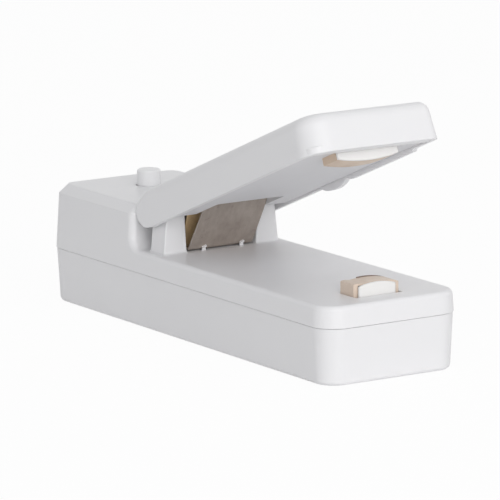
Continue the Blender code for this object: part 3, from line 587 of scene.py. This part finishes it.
def flareOf(z):
    # how far a foot spreads just above the deck: a quarter circle that touches post and deck
    share = ((posts["flare"] - (z - bodyShape["deck"])) / posts["flare"]).clip(0, 1)
    return posts["flare"] * (1 - np.sqrt(1 - share * share))


def postShape(shape):
    # the post's outline from the side, and how far its inner and outer faces lie from the middle
    half = shape["depth"] / 2
    middle = shape["front"] - half
    climb = np.concatenate([[shape["foot"]], bodyShape["deck"] + shape["flare"] * flareSteps,
                            [shape["waist"], shape["hinge"]]])
    turn = np.linspace(2 * quarter, 0, 25)[1:-1]
    crown = np.stack([middle + half * np.cos(turn),
                      shape["hinge"] + shape["crown"] * np.sin(turn)], 1)
    rearSide = np.stack([middle - half - flareOf(climb), climb], 1)
    frontSide = np.stack([middle + half + flareOf(climb), climb], 1)[::-1]
    line = np.concatenate([rearSide, crown, frontSide])[::-1]
    up, flare = line[:, 1] - bodyShape["deck"], flareOf(line[:, 1])
    inner = shape["inner"] + shape["innerDraft"] * up - flare
    return line, inner, shape["inner"] + shape["width"] - shape["outerDraft"] * up + flare


for side, name in ((-1, "hingePostLeft"), (1, "hingePostRight")):
    post = slab(name, *postShape(posts), posts["edge"],
                lambda a, b, c: np.stack([a, side * c, b], -1))
    dress(post, "body", bodyWhite)

barb = dict(x=-11.45, foot=17.6, stem=0.2, reach=0.65, low=18.75, lip=0.2, high=19.2, slope=1.2,
            width=1.05, spacing=10.3, shift=0.25, tilt=0.4, edge=0.08)


def hookLine(shape):
    # a thin stem whose head reaches forward over the leaf's foot
    x, stem, tip = shape["x"], shape["x"] + shape["stem"], shape["x"] + shape["reach"]
    low = shape["low"]
    return [(x, shape["foot"]), (stem, shape["foot"]), (stem, low), (tip, low),
            (tip, low + shape["lip"]), (x + shape["stem"] * shape["slope"], shape["high"]),
            (x, shape["high"])]


for side, name in ((-1, "leafBarbLeft"), (1, "leafBarbRight")):
    at = side * barb["spacing"] / 2 + barb["shift"]

    def place(a, b, c):
        # the hook's head tilts up across its width
        return np.stack([a, c, b + barb["tilt"] * (c - at) * (b >= barb["low"])], -1)

    hook = slab(name, hookLine(barb), at - barb["width"] / 2, at + barb["width"] / 2,
                barb["edge"], place)
    dress(hook, "body", bodyWhite)
print("stage: body")


def buttonLine(shape):
    # from the stem's foot over the flange and up the skirt to the slightly dished top
    top, radius = bodyShape["top"] + shape["rise"], shape["radius"]
    turn = np.linspace(0, quarter, 7)
    rim = np.stack([radius - shape["edge"] * (1 - np.cos(turn)),
                    top - shape["edge"] * (1 - np.sin(turn))], 1)
    lower = [(0, shape["stemLow"]), (shape["stem"], shape["stemLow"]),
             (shape["stem"], shape["flangeLow"]), (shape["flange"], shape["flangeLow"]),
             (shape["flange"], shape["flangeHigh"]), (radius, shape["flangeHigh"]),
             (radius, shape["skirtHigh"])]
    return np.concatenate([lower, rim, [(radius * 0.5, top - shape["dish"] / 2),
                                        (0, top - shape["dish"])]])


pushButton = turned("pushButton", buttonLine(button), (button["x"], 0))
dress(pushButton, "button", buttonWhite, stands=("push_button",))


lever = dict(angle=21.7, pinX=-14.4, pinZ=27.0, reach=71.83, rim=-2.35, top=6.75,
             halfWidth=17.05, corner=6.2, farCorner=2.4, draft=0.063, fillet=2.6, tailFillet=1.0,
             endFillet=0.3, tail=7.6, tailTop=9.0, tailLow=6.5, way=5.2, wall=1.3, rimRound=0.35,
             stepHeight=0.6, stepStart=33.8, stepLength=28.0, stepRamp=0.6, lugHeight=1.3,
             lugStart=22.2, lugLength=10.4, lugPower=0.6, farSetback=1.0, mitre=0.1, endTurn=0.06)
leverSteps = dict(corner=13, top=119, tail=16, low=8, under=8)
cosine, sine = math.cos(math.radians(lever["angle"])), math.sin(math.radians(lever["angle"]))


def onLever(u, y, v):
    # along the lever, across it and square to its rim, turned to where it stands open
    return np.stack([lever["pinX"] + u * cosine - v * sine, y + 0 * u,
                     lever["pinZ"] + u * sine + v * cosine], -1)


def farRimDrop(u):
    # the step and the lug that hang below the far rim
    share = ((u - lever["lugStart"]) / lever["lugLength"]).clip(0, 1)
    lug = lever["lugHeight"] * np.sin(2 * quarter * share) ** lever["lugPower"]
    ends = np.minimum(u - lever["stepStart"], lever["stepStart"] + lever["stepLength"] - u)
    step = lever["stepHeight"] * (ends / lever["stepRamp"]).clip(0, 1)
    return np.where((share > 0) & (share < 1), lug, step)


def leverSide(side, shape, steps):
    # the edge between wall and top runs round the front corner, along the top and down the tail's
    # two quarter ellipses; its rounding shrinks round the tail, and the wall falls to the rim
    far = side > 0
    corner, rim = shape["farCorner" if far else "corner"], shape["rim"]
    spineU, spineY = shape["reach"] - corner, shape["halfWidth"] - corner
    middleV = (shape["top"] + rim) / 2
    tall = (shape["top"] - rim) / 2
    tailTop, tailLow = shape["tailTop"], shape["tailLow"]
    topU, lowU = tailTop - shape["tail"], tailLow - shape["tail"]
    ahead, count = steps["corner"], steps["corner"] + steps["top"]

    def reach(v, inset=0.0):
        return corner - shape["draft"] * (v - rim) - inset

    # stations of the path: along the lever, square to its rim, angle of the wall and inward way
    cornerTurn = np.linspace(0, quarter, ahead)
    straightU = pathSteps(spineU - (shape["farSetback"] if far else 0.0), topU, steps["top"])
    tailTurn = pathSteps(0, quarter, steps["tail"])
    lowTurn = pathSteps(0, math.acos((shape["way"] + lowU) / tailLow), steps["low"])
    u = np.concatenate([np.full(ahead, spineU), straightU, topU - tailTop * np.sin(tailTurn),
                        lowU - tailLow * np.cos(lowTurn)])
    v = np.concatenate([np.full(count, shape["top"]), middleV + tall * np.cos(tailTurn),
                        middleV - tall * np.sin(lowTurn)])
    angle = np.concatenate([cornerTurn, np.full(len(u) - ahead, quarter)])[:, None]
    wayU = np.concatenate([np.zeros(count), np.sin(tailTurn) / tailTop, np.cos(lowTurn) / tailLow])
    wayV = np.concatenate([np.full(count, -1.0), -np.cos(tailTurn) / tall, np.sin(lowTurn) / tall])
    long = np.hypot(wayU, wayV)
    wayU, wayV = wayU / long, wayV / long
    shrink = pathSteps(1, 0, steps["tail"]) ** 2
    radius = np.concatenate([
        np.full(count, shape["fillet"]), mix(shape["tailFillet"], shape["fillet"], shrink),
        pathSteps(shape["tailFillet"], shape["endFillet"], steps["low"])])[:, None]
    phi = rowShares * quarter
    along, inset = radius * (1 - np.sin(phi)), radius * (1 - np.cos(phi))
    rowU, rowV = u[:, None] + along * wayU[:, None], v[:, None] + along * wayV[:, None]
    out = reach(rowV, inset)
    # where the inset passes the corner's radius, both walls' offsets meet in a mitre
    turning = np.arange(len(u))[:, None] < ahead
    over = np.where(turning, np.minimum(out - shape["mitre"], 0), 0)
    out = np.where(over < 0, shape["mitre"], out)
    rows = np.stack([rowU + out * np.cos(angle) + over, spineY + out * np.sin(angle) + over,
                     rowV], -1)
    # the wall stands on the rim as far as the tail
    drop = farRimDrop(u[:count]) if far else np.zeros(count)
    drop[:ahead] = 0
    wallU = mix(u[:count, None], rowU[:count, :1], wallShares)
    wallV = mix((rim - drop)[:, None], rowV[:count, :1], wallShares)
    out = reach(wallV)
    wall = np.stack([wallU + out * np.cos(angle[:count]),
                     spineY + out * np.sin(angle[:count]), wallV], -1)
    # the tail's side is one flat outline: up the wall, round the rows' heads and back underneath
    underTurn = np.linspace(lowTurn[-1] + shape["endTurn"], quarter, steps["under"])
    lineU = np.concatenate([wallU[-1], rowU[count - 1:, 0], lowU - tailLow * np.cos(underTurn)])
    lineV = np.concatenate([wallV[-1], rowV[count - 1:, 0], middleV - tall * np.sin(underTurn)])
    line = np.stack([lineU, spineY + reach(lineV), lineV], -1)
    front = np.concatenate([wall, rows[:count]], axis=1)
    return [onLever(part[..., 0], side * part[..., 1], part[..., 2])
            for part in (front, rows[count - 1:], line)]


leftSide, rightSide = leverSide(-1, lever, leverSteps), leverSide(1, lever, leverSteps)
leverShell = surface("leverShell", [
    *leftSide, *rightSide, across(leftSide[0][:, -1], rightSide[0][:, -1]),
    across(leftSide[1][:, -1], rightSide[1][:, -1]), across(leftSide[0][0], rightSide[0][0])])
modify(leverShell, "SOLIDIFY", thickness=lever["wall"] * mm, offset=-1.0, use_even_offset=False)
modify(leverShell, "BEVEL", limit_method="ANGLE", angle_limit=sharpEdge, segments=2,
       width=lever["rimRound"] * mm)
bake(leverShell)
dress(leverShell, "lever", leverWhite, stands=("lever_shell",))

cover = dict(rear=6.43, front=67.5, thick=1.4, recess=0.35, gap=0.25, notchLength=10.0,
             notchHalf=9.1, notchRound=0.8, notchMouth=0.3, rearRound=0.6, frontRound=2.4,
             edge=0.12)


def coverOutline(shape):
    # a plate with a notch in its rear edge, which the leaf enters
    half = lever["halfWidth"] - lever["wall"] - shape["gap"]
    rear, front = shape["rear"], shape["front"]
    notch, notchEnd = shape["notchHalf"], rear + shape["notchLength"]
    corners = [(rear, -half), (front, -half), (front, half), (rear, half),
               (rear, notch), (notchEnd, notch), (notchEnd, -notch), (rear, -notch)]
    return roundCorners(corners, [
        shape["rearRound"], shape["frontRound"], shape["frontRound"], shape["rearRound"],
        shape["notchMouth"], shape["notchRound"], shape["notchRound"], shape["notchMouth"]])


coverLow = lever["rim"] + cover["recess"]
leverCover = slab("leverCover", coverOutline(cover), coverLow, coverLow + cover["thick"],
                  cover["edge"], onLever)
dress(leverCover, "lever", coverWhite, stands=("lever_cover",))

land = dict(rear=67.8, inside=0.7, proud=0.02, thick=1.6, edge=0.15, rearRound=0.1, frontRound=3.2)


def landOutline(shape):
    # the plain land between the cover's front end and the inside of the nose
    half, front = lever["halfWidth"] - shape["inside"], lever["reach"] - shape["inside"]
    corners = [(shape["rear"], -half), (front, -half), (front, half), (shape["rear"], half)]
    return roundCorners(corners, [shape["rearRound"], shape["frontRound"], shape["frontRound"],
                                  shape["rearRound"]], steps=10)


noseLand = slab("noseLand", landOutline(land), lever["rim"] + land["proud"],
                lever["rim"] + land["thick"], land["edge"], onLever)
dress(noseLand, "lever", leverWhite)
print("stage: lever")


def archRadius(half, side, crown):
    # the circle through both sides and the crown
    rise = crown - side
    return (half * half + rise * rise) / (2 * rise)


def archLine(half, side, crown, foot, steps=24):
    # flat foot below, and the arch above
    radius = archRadius(half, side, crown)
    y = np.linspace(half, -half, steps + 1)
    height = crown - radius + np.sqrt(radius * radius - y * y)
    return np.concatenate([[(-half, foot), (half, foot)], np.stack([y, height], 1)])


def strapLine(half, side, crown, thick, end, foot, steps=24):
    # a strap over the arch: its outer line is the arch's, its inner line lies one thickness inside
    radius = archRadius(half, side, crown)
    centre = crown - radius
    outerHalf = half + end - thick
    y = np.linspace(outerHalf, -outerHalf, steps + 1)
    outer = np.stack([y, centre + np.sqrt(radius * radius - (y * half / outerHalf) ** 2)], 1)
    inner = half - thick
    y = np.linspace(-inner, inner, steps + 1)
    under = np.stack([y, centre + np.sqrt((radius - thick) ** 2 - y * y)], 1)
    return np.concatenate([outer, [(-outerHalf, foot), (-inner, foot)], under,
                           [(inner, foot), (outerHalf, foot)]])


heater = dict(front=53.7, length=6.3, half=5.3, side=2.25, crown=3.0, lip=0.9, edge=0.35, tape=0.3,
              tapeEnd=1.2, tuck=1.4, gap=0.12, faceHalf=4.85, faceShift=-0.45, faceFoot=-2.0,
              skin=0.5, depth=5.2, overlap=0.3, coreEdge=0.2, tapeEdge=0.08, shoulder=0.45,
              shoulderFrom=3.6, shoulderRun=2.0, shoulderAbove=1.0, farTrim=0.4)
heaterArch = (heater["half"], heater["side"], heater["crown"])


def onDeck(a, b, c):
    # outline (y, height over the deck) carried along x
    return np.stack([c, a, bodyShape["deck"] + b], -1)


heaterRear, heaterLip = heater["front"] - heater["length"], heater["front"] - heater["lip"]
faceLine = archLine(*heaterArch, heater["faceFoot"])
faceLine[:, 0] = faceLine[:, 0] * heater["faceHalf"] / heater["half"] + heater["faceShift"]
heaterFace = slab("heaterFace", faceLine, heaterLip, heater["front"], heater["edge"], onDeck)
dress(heaterFace, "body", ceramic)
coreLine = archLine(*(size - heater["skin"] for size in heaterArch), -heater["depth"])
heaterCore = slab("heaterCore", coreLine, heaterRear, heaterLip + heater["overlap"],
                  heater["coreEdge"], onDeck)
dress(heaterCore, "body", ceramic, stands=("heater_block",))

# the strap stands fuller at its near shoulder, and its far end is drawn in
tapeLine = strapLine(*heaterArch, heater["tape"], heater["tapeEnd"], -heater["tuck"])
shoulder = ((-tapeLine[:, 0] - heater["shoulderFrom"]) / heater["shoulderRun"]).clip(0, 1)
shoulder = shoulder * (tapeLine[:, 1] > heater["shoulderAbove"])
tapeLine[:, 1] += heater["shoulder"] * shoulder * shoulder * (3 - 2 * shoulder)
tapeLine[:, 0] -= heater["farTrim"] * (tapeLine[:, 0] > heater["half"])
lowerTape = slab("lowerTape", tapeLine, heaterRear, heaterLip - heater["gap"], heater["tapeEdge"],
                 onDeck)
dress(lowerTape, "body", lowerTapeFinish, stands=("lower_tape",))

# a dark brown band along the rear edge of the strap, a little proud of it: a band that follows the
# arch
darkBand = dict(near=-1.9, far=5.2, proud=0.2, deep=0.3, wide=0.4, edge=0.05)
arcY = np.linspace(darkBand["far"], darkBand["near"], 17)
arcRadius = archRadius(*heaterArch)
arc = heater["crown"] - arcRadius + np.sqrt(arcRadius * arcRadius - arcY * arcY)
darkBandLine = np.concatenate([np.stack([arcY, arc + darkBand["proud"]], 1),
                          np.stack([arcY, arc - darkBand["deep"]], 1)[::-1]])
tapeDarkBand = slab("tapeDarkBand", darkBandLine, heaterRear - darkBand["wide"] / 2, heaterRear + darkBand["wide"] / 2,
               darkBand["edge"], onDeck)
dress(tapeDarkBand, "body", darkBandFinish)

pad = dict(half=8.0, side=1.35, crown=2.25, setback=4.2, length=6.5, lip=0.9, edge=0.3, tape=0.3,
           gap=0.12, faceFoot=-1.6, skin=0.45, coreFoot=-2.2, tapeFoot=-1.2, overlap=0.3,
           coreEdge=0.2, tapeEdge=0.08)
padArch = (pad["half"], pad["side"], pad["crown"])
padFront = lever["reach"] - pad["setback"]
padRear, padLip = padFront - pad["length"], padFront - pad["lip"]


def underLever(a, b, c):
    # outline (y, depth below the rim) carried along the lever
    return onLever(c, a, lever["rim"] - b)


padFace = slab("padFace", archLine(*padArch, pad["faceFoot"]), padLip, padFront, pad["edge"],
               underLever)
dress(padFace, "lever", silicone)
padCore = slab("padCore", archLine(*(size - pad["skin"] for size in padArch), pad["coreFoot"]),
               padRear, padLip + pad["overlap"], pad["coreEdge"], underLever)
dress(padCore, "lever", silicone, stands=("pad_block",))
upperTape = slab("upperTape", strapLine(*padArch, pad["tape"], pad["tape"], pad["tapeFoot"]),
                 padRear, padLip - pad["gap"], pad["tapeEdge"], underLever)
dress(upperTape, "lever", upperTapeFinish, stands=("upper_tape",))
print("stage: sealing heads")


def bentStrip(name, shape):
    # a strip on the deck: flat foot, a bend, then a blade that leans forward and bows a little
    lean = math.radians(shape["lean"])
    low = bodyShape["deck"] + shape["lift"] + shape["thick"] / 2
    height = shape["height"] - shape["thick"] / 2
    radius = shape["bend"]
    turn = np.linspace(0, quarter - lean, 7)
    back = shape["front"] - radius * math.tan((quarter - lean) / 2)
    bend = np.stack([back + radius * np.sin(turn), low + radius * (1 - np.cos(turn))], 1)
    run = pathSteps(0, 1, 12)
    tip = np.array([shape["front"] + height * math.tan(lean), low + height])
    blade = mix(bend[-1], tip, run[:, None])
    blade[:, 0] += shape["bow"] * np.sin(2 * quarter * run)
    path = np.concatenate([[(shape["front"] - shape["foot"], low)], bend, blade])
    way = np.gradient(path, axis=0)
    way /= np.linalg.norm(way, axis=1)[:, None]
    out = np.stack([-way[:, 1], way[:, 0]], 1) * shape["thick"] / 2
    line = np.concatenate([path - out, (path + out)[::-1]])

    def place(a, b, c):
        # over the strip's first rise the near edge draws in evenly and the far edge draws out
        rise = ((b - low) / shape["taperRise"]).clip(0, 1)
        near, far = shape["taper"] * rise * (c < 0), shape["trim"] * (1 - rise) * (c > 0)
        return np.stack([a, c + near - far, b], -1)

    return slab(name, line, -shape["half"], shape["half"], shape["edge"], place)


leaf = dict(front=-11.9, foot=2.4, height=19.0, lean=28.0, thick=0.4, half=8.95, bow=0.15,
            bend=0.8, lift=0.3, edge=0.08, taper=0.7, taperRise=9.0, trim=0.4)
leafSpring = bentStrip("leafSpring", leaf)
dress(leafSpring, "body", springSteel, stands=("leaf_spring",))
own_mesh(leafSpring)

plate = {**leaf, "front": -15.2, "height": 9.4, "lean": 24.0, "half": 9.2, "bow": 0.0,
         "taper": 0.0, "trim": 0.0}
contactPlate = bentStrip("contactPlate", plate)
dress(contactPlate, "body", brassStrip, stands=("contact_plate",))

innerParts = {
    "bright_steel": (platedSteel, (
        "hinge_pin", "heating_ribbon", "positive_contact", "negative_contact", "bridge_contact",
        "front_contact_spring", "rear_contact_spring", "case_screw_1", "case_screw_2",
        "case_screw_3", "case_screw_4", "button_spring")),
    "cell_can": (cellSleeve, ("cell_left", "cell_right")),
    "switch_plastic": (switchBlack, ("button_switch",)),
    "wire_skin": (wireRed, ("wire_left", "wire_right"))}


def pieceName(node):
    # button_spring becomes buttonSpring
    first, *others = node.split("_")
    return first + "".join(word.capitalize() for word in others)


inner = {node: cadCopy(node, pieceName(node), "body", finish)
         for slot, (finish, names) in innerParts.items() for node in names}
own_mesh(inner["button_spring"])
print("stage: inner parts")


stageLook = dict(floorSize=6.0, floorDrop=0.05, floorColour=(0.93, 0.93, 0.93), cameraShare=0.95,
                 worldLight=0.43, worldTint=(0.985, 0.99, 1.0))
softBoxes = {
    "frontBox": dict(way=(0.95, -0.3, 0.26), distance=1.2, size=1.2, strength=0.74,
                     colour=(1.0, 0.995, 0.985)),
    "topBox": dict(way=(0.15, 0.25, 0.95), distance=1.2, size=1.4, strength=0.17,
                   colour=(1.0, 1.0, 1.0)),
}


def makeFloor(look):
    # pale floor: mostly plain white to the eye, the rest a lit surface that keeps the shadow
    half, low = look["floorSize"] / mm / 2, -look["floorDrop"]
    grid = np.array([[(-half, -half, low), (half, -half, low)],
                     [(-half, half, low), (half, half, low)]], float)
    floor = surface("floor", [grid])
    made = finishTree("floorWhite", Roughness=0.9)
    made.feed(Base_Color=rgb(*look["floorColour"]))
    white = made.node("ShaderNodeEmission", sockets={"Color": rgb(1, 1, 1), "Strength": 1.0})
    both = made.node("ShaderNodeMixShader", sockets={
        0: made.seen() * look["cameraShare"], 1: signal(made, made.shader.outputs[0]), 2: white})
    made.plug(both, made.tree.nodes["Material Output"].inputs["Surface"])
    floor.data.materials.append(made.material)


def makeWorld(look):
    # even light all round, and plain white to the eye and in gloss
    world = bpy.data.worlds.new("studio")
    bpy.context.scene.world = world
    made = finishTree("studio", world)
    light = made.node("ShaderNodeBackground", sockets={
        "Color": rgb(*look["worldTint"]), "Strength": look["worldLight"]})
    white = made.node("ShaderNodeBackground", sockets={"Color": rgb(1, 1, 1), "Strength": 1.0})
    both = made.node("ShaderNodeMixShader", sockets={0: made.seen(), 1: light, 2: white})
    made.plug(both, made.tree.nodes["World Output"].inputs["Surface"])


def frameMatrix(side, up, back, place):
    # the world matrix of a camera or lamp from its three axes and its place
    return Matrix([[side[k], up[k], back[k], place[k]] for k in range(3)] + [[0, 0, 0, 1]])


def makeLamp(name, way, distance, size, strength, colour):
    # a square soft box that looks at the object; strength is the light it adds to a facing surface
    data = bpy.data.lights.new(name, "AREA")
    data.size = size
    data.energy = strength * math.pi ** 2 * distance ** 2
    data.color = colour
    lamp = bpy.data.objects.new(name, data)
    bpy.context.scene.collection.objects.link(lamp)
    way = np.array(way, float) / np.linalg.norm(way)
    side = np.cross((0, 0, 1), way)
    side /= np.linalg.norm(side)
    lamp.matrix_world = frameMatrix(side, np.cross(way, side), way, way * distance)


makeFloor(stageLook)
makeWorld(stageLook)
for name, box in softBoxes.items():
    makeLamp(name, **box)

view = dict(azimuth=57.443, elevation=11.199, roll=-0.531, distance=1136.577, side=0.246,
            rise=18.963, focalPixels=4933.8, frame=500.0, sensor=36.0, near=0.05, far=20.0)


def makeCamera(shape):
    # the camera that was fitted to the photo: where it looks from, rolled about its own axis
    turns = (shape["azimuth"], shape["elevation"], shape["roll"])
    azimuth, elevation, roll = (math.radians(turn) for turn in turns)
    back = np.array([math.sin(azimuth) * math.cos(elevation),
                     -math.cos(azimuth) * math.cos(elevation), math.sin(elevation)])
    level = np.array([math.cos(azimuth), math.sin(azimuth), 0.0])
    upright = np.cross(back, level)
    right = level * math.cos(roll) + upright * math.sin(roll)
    up = upright * math.cos(roll) - level * math.sin(roll)
    spot = (back * shape["distance"] + right * shape["side"] + up * shape["rise"]) * mm
    data = bpy.data.cameras.new("camera")
    data.sensor_width = shape["sensor"]
    data.lens = shape["focalPixels"] / shape["frame"] * shape["sensor"]
    data.clip_start, data.clip_end = shape["near"], shape["far"]
    camera = bpy.data.objects.new("camera", data)
    bpy.context.scene.collection.objects.link(camera)
    camera.matrix_world = frameMatrix(right, up, back, spot)
    bpy.context.scene.camera = camera


makeCamera(view)
bpy.context.scene.view_settings.view_transform = "Standard"
print("stage: lights and camera")
